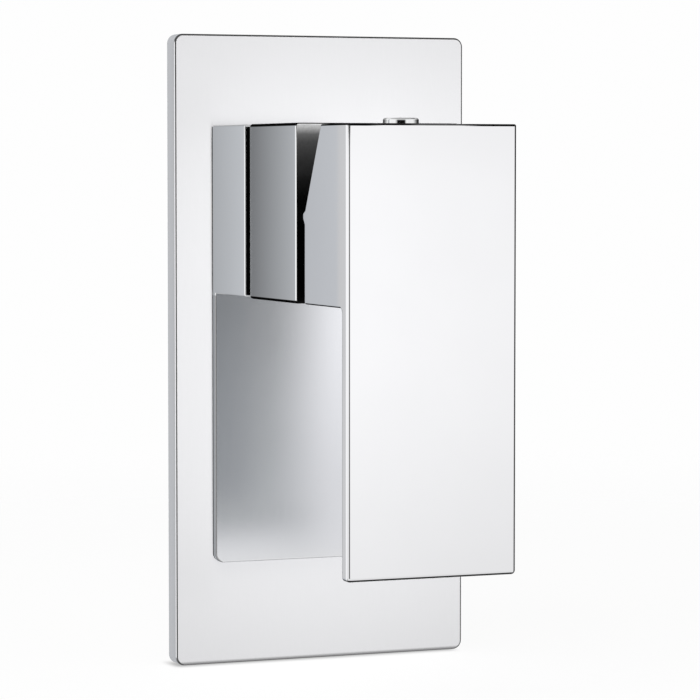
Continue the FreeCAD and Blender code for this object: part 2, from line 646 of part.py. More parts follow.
node(cut(rod(p.grub_radius - 0.05, 0, p.grub_f, -11.5, 8.0, "z"),
         block(-1.2, 1.2, p.grub_f - 1.2, p.grub_f + 1.2, -12, -8.5)), "handle_grub_screw")
node(cut(rod(p.grub_radius + 0.85, 0, p.grub_f, -20.15, 2.6, "z"),
         block(-1.6, 1.6, p.grub_f - 0.35, p.grub_f + 0.35, -21.5, -19.6)), "grub_cap")

# ================================================================ diverter
tower_half = p.tower_side / 2
tower = body("diverter_body", p.knob_x, p.knob_f)
s = sketch(tower, "XZ_Plane", -tower_half)
rectangle(s, -tower_half, tower_half, p.tower_low, p.tower_top)
pad(tower, s, p.tower_side)
fillet(tower, p.soft_edge, lambda e: line_along(e, 1) or (line_along(e, 2) and middle(e)[1] > 0))
fillet(tower, p.crisp_edge, lambda e: near(-e.BoundBox.YMin, tower_half) and near(-e.BoundBox.YMax, tower_half))
# stub through the plate to the valve body
s = sketch(tower, "XZ_Plane", p.body_front - p.knob_f)
rectangle(s, -4.0, 4.0, p.shower_z - 3.0, p.bath_z + 4.0)
pad(tower, s, 7.5)
s = sketch(tower, "XY_Plane", p.tower_low)
circle(s, 0, 0, p.spool_bore)
pocket(tower, s, 30.0, forward=True)
s = sketch(tower, "XY_Plane", p.tower_top)
circle(s, 0, 0, p.spool_bore + 0.8)
pocket(tower, s, 5.0)
s = sketch(tower, "XZ_Plane", p.body_front - p.knob_f)
for z in (p.bath_z, p.feed_z, p.shower_z):
    circle(s, 0, z, 1.6)
pocket(tower, s, 12.0, forward=True)
s = sketch(tower, "XZ_Plane", p.body_front - p.knob_f)
for z in (p.bath_z, p.feed_z, p.shower_z):
    circle(s, 0, z, 2.7)
pocket(tower, s, 1.0, forward=True)

node(group(*[cut(rod(2.65, p.knob_x, p.body_front, z, 1.0, "f"), rod(1.85, p.knob_x, p.body_front - 1, z, 3, "f"))
             for z in (p.bath_z, p.feed_z, p.shower_z)]), "port_seals")

plug = spindle("diverter_plug", [(0, p.tower_low), (p.spool_bore - 0.03, p.tower_low), (p.spool_bore - 0.03, -16.4), (0, -16.4)])
s = sketch(plug, "XY_Plane", p.tower_low)
rectangle(s, -1.5, 1.5, -1.5, 1.5)
pocket(plug, s, 2.2, forward=True)

spindle("diverter_bonnet", [(p.rod_radius + 0.06, 1.0), (p.spool_bore + 0.77, 1.0), (p.spool_bore + 0.77, p.tower_top),
                            (5.6, p.tower_top), (5.6, p.tower_top + 0.9), (5.2, p.tower_top + 1.3), (p.rod_radius + 0.06, p.tower_top + 1.3),
                            (p.rod_radius + 0.06, 4.6), (2.7, 4.6), (2.7, 3.2), (p.rod_radius + 0.06, 3.2)])
spindle("rod_seal", [(p.rod_radius + 0.05, 3.2), (2.7, 3.2), (2.7, 4.6), (p.rod_radius + 0.05, 4.6)])

# pull knob: waisted grip under a plain round crown
spindle("diverter_knob", [(p.rod_radius, 7.9), (3.9, 7.9), (4.3, 8.3), (4.3, 9.6), (3.9, 10.4), (3.9, 15.2), (4.5, 16.6),
                          (p.knob_radius, 17.2), (p.knob_radius, 20.5), (p.knob_crown + 0.15, 21.0), (p.knob_crown, 21.25),
                          (p.knob_crown, p.knob_top - 0.55), (p.knob_crown - 0.16, p.knob_top - 0.16),
                          (p.knob_crown - 0.55, p.knob_top), (0, p.knob_top), (0, 18.6), (p.rod_radius, 18.6)])
spindle("diverter_rod", [(0, -12.6), (1.1, -12.6), (1.1, -8.6), (p.rod_radius, -8.6), (p.rod_radius, 18.6), (0, 18.6)])
spindle("diverter_piston", [(1.1, -11.6), (3.2, -11.6), (3.2, -10.8), (2.5, -10.8), (2.5, -9.4), (3.2, -9.4), (3.2, -8.6), (1.1, -8.6)])
spindle("piston_seal", [(2.5, -10.8), (p.spool_bore - 0.06, -10.8), (p.spool_bore - 0.06, -9.4), (2.5, -9.4)])

# return spring between the piston and the bonnet
spring = body("diverter_spring", p.knob_x, p.knob_f, -8.15)
s = sketch(spring, "XZ_Plane")
circle(s, 2.6, 0, 0.35)
coil = spring.newObject("PartDesign::AdditiveHelix", "coil")
coil.Profile = s
coil.ReferenceAxis = (s, ["V_Axis"])
coil.Mode = "pitch-height-angle"
coil.Pitch = 2.2
coil.Height = 8.6
doc.recompute()

# ================================================================ checks and files
doc.recompute()
for obj in doc.Objects:
    if "Invalid" in obj.State or "Error" in obj.State:
        raise ValueError("%s failed: %s" % (obj.Label, obj.State))
for name, obj in NODES:
    shape = obj.Shape
    if shape.isNull() or not shape.isValid() or not shape.Solids:
        raise ValueError("bad shape: " + name)
for name, obj in NODES:
    obj.Shape.exportStep("parts/%s.step" % name)
    bb = obj.Shape.BoundBox
    print("%-20s solids %d  volume %9.1f  x %7.2f %7.2f  y %7.2f %7.2f  z %7.2f %7.2f" % (
        name, len(obj.Shape.Solids), obj.Shape.Volume, bb.XMin, bb.XMax, bb.YMin, bb.YMax, bb.ZMin, bb.ZMax))
print("nodes", len(NODES))
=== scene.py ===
import bpy, bmesh
import json, math
from mathutils import Vector, Matrix


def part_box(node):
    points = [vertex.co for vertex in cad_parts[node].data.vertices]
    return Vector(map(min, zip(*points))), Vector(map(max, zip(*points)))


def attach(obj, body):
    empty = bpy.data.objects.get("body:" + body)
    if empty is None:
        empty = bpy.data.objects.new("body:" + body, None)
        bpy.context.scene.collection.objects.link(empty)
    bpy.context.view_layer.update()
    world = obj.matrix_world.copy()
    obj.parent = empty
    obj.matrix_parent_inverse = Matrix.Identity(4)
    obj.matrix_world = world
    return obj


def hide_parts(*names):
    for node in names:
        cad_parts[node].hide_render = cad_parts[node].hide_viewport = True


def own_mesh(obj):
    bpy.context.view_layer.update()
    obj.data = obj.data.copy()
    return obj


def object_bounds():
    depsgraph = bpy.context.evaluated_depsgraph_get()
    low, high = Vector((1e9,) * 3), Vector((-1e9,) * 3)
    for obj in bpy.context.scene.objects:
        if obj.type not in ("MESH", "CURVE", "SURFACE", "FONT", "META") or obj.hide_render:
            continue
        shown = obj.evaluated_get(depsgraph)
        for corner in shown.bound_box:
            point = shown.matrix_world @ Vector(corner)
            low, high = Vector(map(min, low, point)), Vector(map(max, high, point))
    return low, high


# Looks of the wall mixer tap: polished and satin chrome, brass behind the wall, black
# gap ring, on a white sweep under soft studio light.

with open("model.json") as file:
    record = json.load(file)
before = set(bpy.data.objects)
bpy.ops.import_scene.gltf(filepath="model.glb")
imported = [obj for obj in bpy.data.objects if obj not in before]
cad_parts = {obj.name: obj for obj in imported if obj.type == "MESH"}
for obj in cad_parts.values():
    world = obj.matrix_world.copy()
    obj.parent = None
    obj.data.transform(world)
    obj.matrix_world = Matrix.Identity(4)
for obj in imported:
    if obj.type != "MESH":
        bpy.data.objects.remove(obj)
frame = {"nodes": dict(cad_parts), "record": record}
cad_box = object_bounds()
nodes = frame["nodes"]
scene = bpy.context.scene
scene.view_settings.view_transform = "Standard"
scene.view_settings.look = "None"
MM = 0.001

# ------------------------------------------------------------------ camera
cam_data = bpy.data.cameras.new("camera")
cam_data.sensor_width = 36.0
cam_data.sensor_fit = "HORIZONTAL"
cam_data.lens = 166.98
cam_data.clip_start = 0.01
cam_data.clip_end = 50.0
cam = bpy.data.objects.new("camera", cam_data)
cam.location = (-0.29205, -0.74018, 0.04457)
cam.rotation_euler = (math.radians(90.0 - 3.2575), 0.0, -math.radians(22.184))
scene.collection.objects.link(cam)
scene.camera = cam


# ------------------------------------------------------------------ node helpers
class Mat:
    """A node material with short ways to add and join nodes."""

    def __init__(self, name):
        self.m = bpy.data.materials.new(name)
        self.m.use_nodes = True
        self.t = self.m.node_tree
        self.t.nodes.clear()
        self.out = self.add("ShaderNodeOutputMaterial")
        self.coords = None

    def add(self, kind, **props):
        n = self.t.nodes.new(kind)
        for k, v in props.items():
            setattr(n, k, v)
        return n

    def join(self, a, b):
        self.t.links.new(a, b)

    def put(self, socket, value):
        """Set a socket to a number, or join it to another socket."""
        if isinstance(value, bpy.types.NodeSocket):
            self.join(value, socket)
        else:
            socket.default_value = value

    def where(self):
        """Position in the part's own frame, in metres."""
        if self.coords is None:
            self.coords = self.add("ShaderNodeTexCoord").outputs["Object"]
        return self.coords

    def xyz(self):
        s = self.add("ShaderNodeSeparateXYZ")
        self.join(self.where(), s.inputs[0])
        return s.outputs["X"], s.outputs["Y"], s.outputs["Z"]

    def math(self, op, a, b=0.0, c=0.0, clamp=False):
        n = self.add("ShaderNodeMath", operation=op, use_clamp=clamp)
        for i, v in enumerate((a, b, c)):
            self.put(n.inputs[i], v)
        return n.outputs[0]

    def span(self, value, a, b, to0=0.0, to1=1.0, smooth=True):
        """Map value from a..b onto to0..to1, held at the ends."""
        n = self.add("ShaderNodeMapRange", interpolation_type="SMOOTHSTEP" if smooth else "LINEAR")
        self.put(n.inputs["Value"], value)
        for name, v in (("From Min", a), ("From Max", b), ("To Min", to0), ("To Max", to1)):
            self.put(n.inputs[name], v)
        return n.outputs["Result"]

    def noise(self, scale, detail=3.0, rough=0.5, stretch=None, distortion=0.0):
        n = self.add("ShaderNodeTexNoise")
        n.inputs["Scale"].default_value = scale
        n.inputs["Detail"].default_value = detail
        n.inputs["Roughness"].default_value = rough
        n.inputs["Distortion"].default_value = distortion
        if stretch:
            mp = self.add("ShaderNodeMapping")
            mp.inputs["Scale"].default_value = stretch
            self.join(self.where(), mp.inputs["Vector"])
            self.join(mp.outputs[0], n.inputs["Vector"])
        else:
            self.join(self.where(), n.inputs["Vector"])
        return n.outputs["Fac"]

    def cells(self, scale, feature="F1"):
        n = self.add("ShaderNodeTexVoronoi", feature=feature)
        n.inputs["Scale"].default_value = scale
        self.join(self.where(), n.inputs["Vector"])
        return n.outputs["Distance"]

    def ramp(self, fac, stops, mode="LINEAR"):
        n = self.add("ShaderNodeValToRGB")
        n.color_ramp.interpolation = mode
        e = n.color_ramp.elements
        while len(e) < len(stops):
            e.new(0.5)
        for el, (pos, col) in zip(e, stops):
            el.position = pos
            el.color = (*col, 1.0) if len(col) == 3 else col
        self.join(fac, n.inputs["Fac"])
        return n.outputs["Color"]

    def mix(self, fac, a, b):
        n = self.add("ShaderNodeMix", data_type="RGBA")
        self.put(n.inputs[0], fac)
        self.put(n.inputs[6], a if isinstance(a, bpy.types.NodeSocket) else (*a, 1.0))
        self.put(n.inputs[7], b if isinstance(b, bpy.types.NodeSocket) else (*b, 1.0))
        return n.outputs[2]

    def times(self, a, b):
        n = self.add("ShaderNodeMix", data_type="RGBA", blend_type="MULTIPLY")
        n.inputs[0].default_value = 1.0
        self.put(n.inputs[6], a)
        self.put(n.inputs[7], b)
        return n.outputs[2]

    def bump(self, height, strength, distance):
        n = self.add("ShaderNodeBump")
        n.inputs["Strength"].default_value = strength
        n.inputs["Distance"].default_value = distance
        self.join(height, n.inputs["Height"])
        return n.outputs["Normal"]

    def surface(self, color, rough, metallic, normal=None, **extra):
        b = self.add("ShaderNodeBsdfPrincipled")
        self.put(b.inputs["Base Color"], color if isinstance(color, bpy.types.NodeSocket) else (*color, 1.0))
        self.put(b.inputs["Roughness"], rough)
        self.put(b.inputs["Metallic"], metallic)
        if normal is not None:
            self.join(normal, b.inputs["Normal"])
        for k, v in extra.items():
            b.inputs[k.replace("_", " ")].default_value = v
        self.join(b.outputs[0], self.out.inputs["Surface"])
        return self.m


# ------------------------------------------------------------------ finishes
def float_mix(m, fac, a, b):
    n = m.add("ShaderNodeMix", data_type="FLOAT")
    m.put(n.inputs[0], fac)
    m.put(n.inputs[2], a)
    m.put(n.inputs[3], b)
    return n.outputs[0]


def facing(m):
    """The surface direction in the piece's own frame."""
    s = m.add("ShaderNodeSeparateXYZ")
    m.join(m.add("ShaderNodeTexCoord").outputs["Normal"], s.inputs[0])
    return s.outputs["X"], s.outputs["Y"], s.outputs["Z"]


def edge_shade_masks(m, front_only=False, starts=(0.04, 0.04, 0.04)):
    """1 on the fine rounds along the top, bottom and right-hand edges, where the finishes paint dark reflection lines,
    0 on the flats;
    starts: how far round each one the line begins."""
    nx, ny, nz = facing(m)

    def band(v, a):
        return m.math("MULTIPLY", m.span(v, a, a + 0.12), m.span(v, 0.997, 0.98))

    keep = m.span(ny, -0.05, -0.20) if front_only else m.span(ny, 0.55, 0.35)
    return [m.math("MULTIPLY", band(v, a), keep) for v, a in zip((nz, m.math("MULTIPLY", nz, -1.0), nx), starts)], ny


def polished_chrome(name, base=0.04, colour=(0.925, 0.93, 0.937), edges=None, black_above=None, black_front_painted_sheen=None, top_line=None, starts=(0.04, 0.04, 0.04), rear_line=None, flanks=False):
    """Bright plate: faint hazing and wipe marks in the gloss, a trace of polishing waviness;
    edges: how much colour the painted dark reflection lines leave on the fine top, bottom and right edge rounds, 0 for
    painted black with no metal;
    black_above: a height above which the bottom round is painted black too;
    black_front_painted_sheen: a depth in front of which the forward face is a black finish under a painted sheen that
    grades up to chrome at the top;
    top_line: a height where the top round's painted black line spreads onto the front near both ends, and is weaker
    across the middle;
    starts: how far round the edges their painted lines begin;
    rear_line: a depth in front of which the thin left side has a painted shade along its rear edge;
    flanks: a round piece has painted dark reflections towards its left and right sides, as seen from the front left."""
    m = Mat(name)
    x, y, z = m.xyz()
    haze = m.noise(55.0, 4.0, 0.55)
    wipe = m.noise(160.0, 3.0, 0.6, stretch=(1.0, 1.0, 0.12))
    both = m.math("ADD", m.math("MULTIPLY", haze, 0.6), m.math("MULTIPLY", wipe, 0.4))
    rough = m.span(both, 0.35, 0.7, base * 0.7, base * 1.4)
    tint = m.mix(m.span(haze, 0.3, 0.7), tuple(c * 0.988 for c in colour), colour)
    metal = 1.0
    # painted dark reflection lines: the chosen edge rounds are darkened, and where painted black their metal is taken
    # off
    if edges is not None:
        lines, ny = edge_shade_masks(m, starts=starts)
        if top_line is not None:
            mid = m.math("MULTIPLY", m.span(x, -15.0 * MM, -11.0 * MM), m.span(x, 2.0 * MM, -2.0 * MM))
            lines[0] = m.math("MULTIPLY", lines[0], m.math("SUBTRACT", 1.0, m.math("MULTIPLY", mid, 0.35)))
        # the masks painted black with no metal: edge lines kept at 0, the bottom round above a height, the front's top
        # strip near both ends
        dull = []
        for line, keep in zip(lines, edges):
            tint = m.mix(line, tint, tuple(c * keep for c in colour))
            rough = float_mix(m, line, rough, 0.12)
            if keep == 0.0:
                dull.append(line)
        if black_above is not None:
            dull.append(m.math("MULTIPLY", lines[1], m.span(z, black_above, black_above + 0.002)))
        if top_line is not None:
            ends = m.math("ADD", m.span(x, -19.0 * MM, -24.0 * MM), m.span(x, -2.0 * MM, 4.0 * MM))
            strip = m.math("MULTIPLY", m.span(z, top_line - 0.00004, top_line), m.span(ny, -0.5, -0.9))
            dull.append(m.math("MULTIPLY", ends, strip))
        # painted shade along the rear edge of the lever's thin left side, below the block
        if rear_line is not None:
            thin = m.math("MULTIPLY", m.span(facing(m)[0], -0.80, -0.92), m.span(z, 13.5 * MM, 13.0 * MM))
            tint = m.mix(m.math("MULTIPLY", thin, m.span(y, rear_line - 0.0010, rear_line - 0.0001)), tint, tuple(c * 0.62 for c in colour))
        black = dull[0]
        for d in dull[1:]:
            black = m.math("MAXIMUM", black, d)
        tint = m.mix(black, tint, (0.004, 0.004, 0.004))
        metal = m.math("SUBTRACT", 1.0, black)
    # painted dark reflections on a round piece's left and right flanks, as seen from the front left
    if flanks:
        nx, ny, nz = facing(m)
        across = m.math("SUBTRACT", m.math("MULTIPLY", nx, 0.927), m.math("MULTIPLY", ny, 0.375))
        dark = m.math("MAXIMUM", m.span(across, 0.64, 0.93), m.span(across, -0.72, -1.0))
        dark = m.math("MULTIPLY", dark, m.span(ny, 0.75, 0.45))
        tint = m.mix(dark, tint, tuple(c * 0.03 for c in colour))
        metal = m.math("SUBTRACT", 1.0, m.math("MULTIPLY", dark, 0.9))
    # a black finish on the forward face, under a painted sheen that grades from near black low down to full chrome at
    # the top
    if black_front_painted_sheen is not None:
        front = m.math("MULTIPLY", m.span(ny, -0.90, -0.97), m.span(y, black_front_painted_sheen + 0.0004, black_front_painted_sheen + 0.0001))
        grain = m.noise(1500.0, 3.0, 0.6)
        grey = m.ramp(m.span(z, 37.0 * MM, 54.1 * MM, smooth=False),
                      [(0.0, (0.012,) * 3), (0.25, (0.035,) * 3), (0.494, (0.11,) * 3), (0.753, (0.24,) * 3), (0.851, (0.40,) * 3), (0.917, (0.85,) * 3), (0.95, (1.0,) * 3)])
        grey = m.mix(m.span(grain, 0.3, 0.7, 0.0, 0.12), grey, (0.02, 0.02, 0.02))
        tint = m.mix(front, tint, grey)
        rough = float_mix(m, front, rough, m.span(grain, 0.3, 0.7, 0.28, 0.32))
    wave = m.noise(38.0, 1.0, 0.4)
    return m.surface(tint, rough, metal, m.bump(wave, 0.04, 0.0002), Specular_IOR_Level=0.0 if edges is not None or flanks else 0.5)


def satin_chrome(name, base=0.32, colour=(0.90, 0.905, 0.912), metallic=1.0, edges=None):
    """Fine satin plate: short upright grain in gloss and height, and a dull ground back;
    edges: how much colour the painted dark reflection lines leave on the top, bottom, right and left front rounds; with
    them the left side face gets a painted shade and the front a painted shade along its bottom edge."""
    m = Mat(name)
    x, y, z = m.xyz()
    grain = m.noise(2600.0, 2.0, 0.6, stretch=(1.0, 1.0, 0.06))
    haze = m.noise(40.0, 3.0, 0.5)
    rough = m.math("ADD", m.span(haze, 0.3, 0.7, base * 0.98, base * 1.02), m.span(grain, 0.3, 0.7, -0.01, 0.01))
    tint = m.mix(m.span(grain, 0.3, 0.7), tuple(c * 0.99 for c in colour), colour)
    # painted dark reflection lines on the front rounds, a painted shade on the left side face and along the bottom edge
    # of the front
    if edges is not None:
        nx, ny, nz = facing(m)
        left = m.math("MULTIPLY", m.math("MULTIPLY", m.span(nx, -0.03, -0.14), m.span(nx, -0.74, -0.62)), m.span(ny, -0.3, -0.5))
        side, front = m.span(nx, -0.90, -0.97), m.span(ny, -0.90, -0.97)
        foot = m.math("MULTIPLY", m.span(z, -74.9 * MM, -75.5 * MM), front)
        for part, keep in zip(edge_shade_masks(m, front_only=True)[0] + [left, side, foot], edges + (0.94, 0.42)):
            tint = m.mix(part, tint, tuple(c * keep for c in colour))
    back = m.span(facing(m)[1], 0.90, 0.97)
    ground = m.noise(900.0, 3.0, 0.6, stretch=(1.0, 1.0, 0.3))
    stain = m.noise(35.0, 4.0, 0.6)
    dull = m.mix(m.span(m.math("ADD", m.math("MULTIPLY", ground, 0.5), m.math("MULTIPLY", stain, 0.5)), 0.35, 0.65), (0.36, 0.365, 0.375), (0.52, 0.525, 0.535))
    tint = m.mix(back, tint, dull)
    rough = float_mix(m, back, rough, m.span(ground, 0.3, 0.7, 0.46, 0.60))
    if edges is not None:
        glint = m.math("MULTIPLY", m.math("MULTIPLY", m.span(nx, -0.72, -0.80), m.span(nx, -0.997, -0.98)), m.span(ny, -0.05, -0.15))
        metallic = float_mix(m, glint, metallic, 1.0)
        rough = float_mix(m, glint, rough, 0.08)
    return m.surface(tint, rough, metallic, m.bump(grain, 0.01, 0.00005))


chrome = polished_chrome("chrome_polished", 0.04)
# the lever and the sleeve carry painted dark reflection lines on their edge rounds; the lever also a painted shade
# along its rear edge, the sleeve a painted sheen on its black front
lever_chrome = polished_chrome("chrome_lever", 0.035, (0.93, 0.93, 0.946), edges=(0.0, 0.05, 0.05), black_above=5.0 * MM, top_line=53.10 * MM, starts=(0.04, 0.36, 0.20), rear_line=-88.2 * MM)
sleeve_chrome = polished_chrome("chrome_sleeve", 0.04, edges=(0.0, 0.0, 0.10), black_front_painted_sheen=-60.85 * MM)
# the knob carries painted dark reflections on its flanks
knob_chrome = polished_chrome("chrome_knob", 0.05, flanks=True)
# the plate's satin carries painted dark lines on its front rounds, and a painted shade on its left side and along its
# bottom edge
satin = satin_chrome("chrome_satin", 0.20, (0.93, 0.93, 0.947), 0.55, edges=(0.08, 0.28, 0.05, 0.10))


def cover_chrome():
    """The fixed cover: polished block, satin panel below it; the panel has a painted dark reflection on its front left
    round and a painted shade on its left side.
    """
    m = Mat("chrome_cover")
    x, y, z = m.xyz()
    panel = m.span(z, 13.6 * MM, 13.2 * MM)
    grain = m.noise(2600.0, 2.0, 0.6, stretch=(1.0, 1.0, 0.06))
    haze = m.noise(45.0, 3.0, 0.5)
    low = m.span(haze, 0.3, 0.7, 0.05, 0.07)
    high = m.math("ADD", m.span(haze, 0.3, 0.7, 0.175, 0.185), m.span(grain, 0.3, 0.7, -0.01, 0.01))
    tint = m.mix(m.span(haze, 0.3, 0.7), (0.885, 0.89, 0.90), (0.90, 0.905, 0.915))
    nx, ny, nz = facing(m)
    # painted dark reflection on the panel's front left round, painted shade on its left side
    corner = m.math("MULTIPLY", m.math("MULTIPLY", m.span(nx, -0.06, -0.2), m.span(ny, -0.06, -0.2)), panel)
    tint = m.mix(corner, tint, (0.42, 0.422, 0.427))
    tint = m.mix(m.math("MULTIPLY", m.span(nx, -0.90, -0.97), panel), tint, (0.68, 0.685, 0.695))
    return m.surface(tint, float_mix(m, panel, low, high), 1.0, m.bump(grain, 0.008, 0.00005))


def brass():
    """Sand-cast brass; the hexagons at the ports are milled and their bores threaded."""
    m = Mat("brass_cast")
    x, y, z = m.xyz()

    def near_axis(a, a0, b, b0, radius):
        """1 within a radius of a line through (a0, b0)."""
        u, v = m.math("SUBTRACT", a, a0 * MM), m.math("SUBTRACT", b, b0 * MM)
        d = m.math("SQRT", m.math("ADD", m.math("MULTIPLY", u, u), m.math("MULTIPLY", v, v)))
        return m.math("LESS_THAN", d, radius * MM)

    cold, hot, side = near_axis(x, 18.4, y, 14.0, 9.5), near_axis(x, -14.2, y, 14.0, 9.5), near_axis(y, 14.0, z, 37.8, 9.5)
    foot, head = m.math("LESS_THAN", z, 8.02 * MM), m.math("MULTIPLY", m.math("GREATER_THAN", z, 51.98 * MM), m.math("GREATER_THAN", x, 2.0 * MM))
    right = m.math("MULTIPLY", m.math("GREATER_THAN", x, 24.78 * MM), m.math("MULTIPLY", m.math("GREATER_THAN", z, 22.0 * MM), m.math("LESS_THAN", z, 51.98 * MM)))
    upright = m.math("MAXIMUM", foot, head)
    milled = m.math("MAXIMUM", upright, right)
    neck = m.math("LESS_THAN", y, 0.6 * MM)
    milled = m.math("MAXIMUM", milled, neck)
    # threads: 1.81 mm pitch inside the ports
    bore_z = m.math("MULTIPLY", m.math("MAXIMUM", cold, hot), m.math("MAXIMUM", m.math("LESS_THAN", z, 10.9 * MM), m.math("GREATER_THAN", z, 49.1 * MM)))
    bore_x = m.math("MULTIPLY", side, m.math("GREATER_THAN", x, 21.9 * MM))
    thread = m.math("ADD", m.math("MULTIPLY", bore_z, m.math("SINE", m.math("MULTIPLY", z, 2 * math.pi / 0.001814))),
                    m.math("MULTIPLY", bore_x, m.math("SINE", m.math("MULTIPLY", x, 2 * math.pi / 0.001814))))
    cast = m.math("ADD", m.math("MULTIPLY", m.noise(1100.0, 4.0, 0.6), 0.7), m.math("MULTIPLY", m.cells(900.0), 0.45))
    lines = float_mix(m, right, m.noise(1700.0, 2.0, 0.5, stretch=(0.10, 0.10, 1.0)), m.noise(1700.0, 2.0, 0.5, stretch=(1.0, 0.10, 0.10)))
    tone = m.noise(45.0, 4.0, 0.55)
    dull = m.mix(m.span(tone, 0.3, 0.7), (0.52, 0.355, 0.125), (0.62, 0.44, 0.175))
    dull = m.mix(m.span(m.noise(600.0, 3.0, 0.6), 0.5, 0.8), dull, (0.40, 0.27, 0.095))
    bright = m.mix(m.span(tone, 0.3, 0.7), (0.71, 0.52, 0.22), (0.80, 0.605, 0.29))
    col = m.mix(milled, dull, bright)
    rough = float_mix(m, milled, m.span(m.noise(400.0, 3.0, 0.6), 0.3, 0.7, 0.27, 0.40), m.span(lines, 0.3, 0.7, 0.13, 0.23))
    height = m.math("ADD", float_mix(m, milled, cast, m.math("MULTIPLY", lines, 0.35)), m.math("MULTIPLY", thread, 1.6))
    return m.surface(col, rough, 1.0, m.bump(height, 0.35, 0.00012))


def turned_brass():
    m = Mat("brass_turned")
    lines = m.noise(1500.0, 2.0, 0.5, stretch=(0.15, 1.0, 0.15))
    tone = m.noise(80.0, 3.0, 0.5)
    col = m.mix(m.span(tone, 0.3, 0.7), (0.66, 0.47, 0.19), (0.78, 0.59, 0.28))
    return m.surface(col, m.span(lines, 0.3, 0.7, 0.16, 0.30), 1.0, m.bump(lines, 0.10, 0.00004))


def steel():
    m = Mat("steel_brushed")
    lines = m.noise(2200.0, 2.0, 0.5, stretch=(1.0, 0.15, 1.0))
    tone = m.noise(90.0, 3.0, 0.5)
    col = m.mix(m.span(tone, 0.3, 0.7), (0.56, 0.565, 0.575), (0.66, 0.665, 0.675))
    return m.surface(col, m.span(lines, 0.3, 0.7, 0.20, 0.36), 1.0, m.bump(lines, 0.08, 0.00003))


def black_metal():
    m = Mat("black_finish")
    fine = m.noise(1400.0, 3.0, 0.6)
    tone = m.noise(120.0, 3.0, 0.6)
    col = m.mix(m.span(tone, 0.3, 0.7), (0.004, 0.004, 0.004), (0.007, 0.007, 0.007))
    return m.surface(col, m.span(fine, 0.3, 0.7, 0.38, 0.52), 0.0, m.bump(fine, 0.12, 0.00004), Specular_IOR_Level=0.2)


def plastic(name, dark, light, r0, r1, **extra):
    m = Mat(name)
    grain = m.noise(1800.0, 3.0, 0.6)
    tone = m.noise(70.0, 3.0, 0.5)
    col = m.mix(m.span(tone, 0.3, 0.7), dark, light)
    return m.surface(col, m.span(grain, 0.3, 0.7, r0, r1), 0.0, m.bump(grain, 0.15, 0.00004), **extra)


def rubber(name="rubber_black", **extra):
    m = Mat(name)
    fine = m.noise(2500.0, 3.0, 0.6)
    tone = m.noise(150.0, 3.0, 0.6)
    col = m.mix(m.span(tone, 0.35, 0.7), (0.012, 0.012, 0.012), (0.030, 0.030, 0.029))
    return m.surface(col, m.span(fine, 0.3, 0.7, 0.45, 0.62), 0.0, m.bump(fine, 0.15, 0.00003), **extra)


def foam():
    m = Mat("foam_closed_cell")
    cell = m.cells(1100.0)
    tone = m.noise(160.0, 3.0, 0.6)
    col = m.mix(m.span(tone, 0.3, 0.7), (0.050, 0.050, 0.053), (0.10, 0.10, 0.105))
    return m.surface(col, m.span(cell, 0.0, 0.8, 0.95, 0.75), 0.0, m.bump(cell, 0.6, 0.0002))


def ceramic():
    m = Mat("ceramic_lapped")
    fine = m.noise(3000.0, 2.0, 0.5)
    tone = m.noise(200.0, 4.0, 0.6)
    col = m.mix(m.span(tone, 0.35, 0.65), (0.83, 0.82, 0.78), (0.91, 0.90, 0.87))
    return m.surface(col, m.span(fine, 0.3, 0.7, 0.10, 0.18), 0.0, m.bump(fine, 0.04, 0.00002))


black_plastic = plastic("plastic_black", (0.0012, 0.0012, 0.0012), (0.0026, 0.0026, 0.0027), 0.42, 0.55, Specular_IOR_Level=0.0)
white_plastic = plastic("plastic_white", (0.74, 0.74, 0.71), (0.82, 0.82, 0.80), 0.30, 0.42)
brass_cast, brass_turned, steel_mat = brass(), turned_brass(), steel()
black_mat, rubber_mat, foam_mat, ceramic_mat = black_metal(), rubber(), foam(), ceramic()
cover_mat = cover_chrome()
seal_mat = rubber("rubber_dull", Specular_IOR_Level=0.0)

FINISH = {
    "chrome": chrome, "brass": brass_turned, "black_metal": black_mat, "black_plastic": black_plastic,
    "white_plastic": white_plastic, "ceramic": ceramic_mat, "steel": steel_mat, "seal_rubber": rubber_mat, "foam": foam_mat,
}
SPECIAL = {"wall_plate": satin, "body_cover": cover_mat, "valve_body": brass_cast, "cover_seal": seal_mat, "handle": lever_chrome, "carrier_sleeve": sleeve_chrome}
slot_of = {s["node"]: s["material_slot"] for s in frame["record"]["subparts"]}
for name, obj in nodes.items():
    mat = SPECIAL.get(name) or FINISH[slot_of[name]]
    if not obj.material_slots:
        obj.data.materials.append(mat)
    for s in obj.material_slots:
        s.material = mat
# the studio cards stand in for the plate, the cover and what they hide in the other pieces' reflections
MIRRORED = ("handle", "carrier_sleeve", "sleeve_screws", "lever_stem")
for name, obj in nodes.items():
    obj.visible_glossy = name in MIRRORED

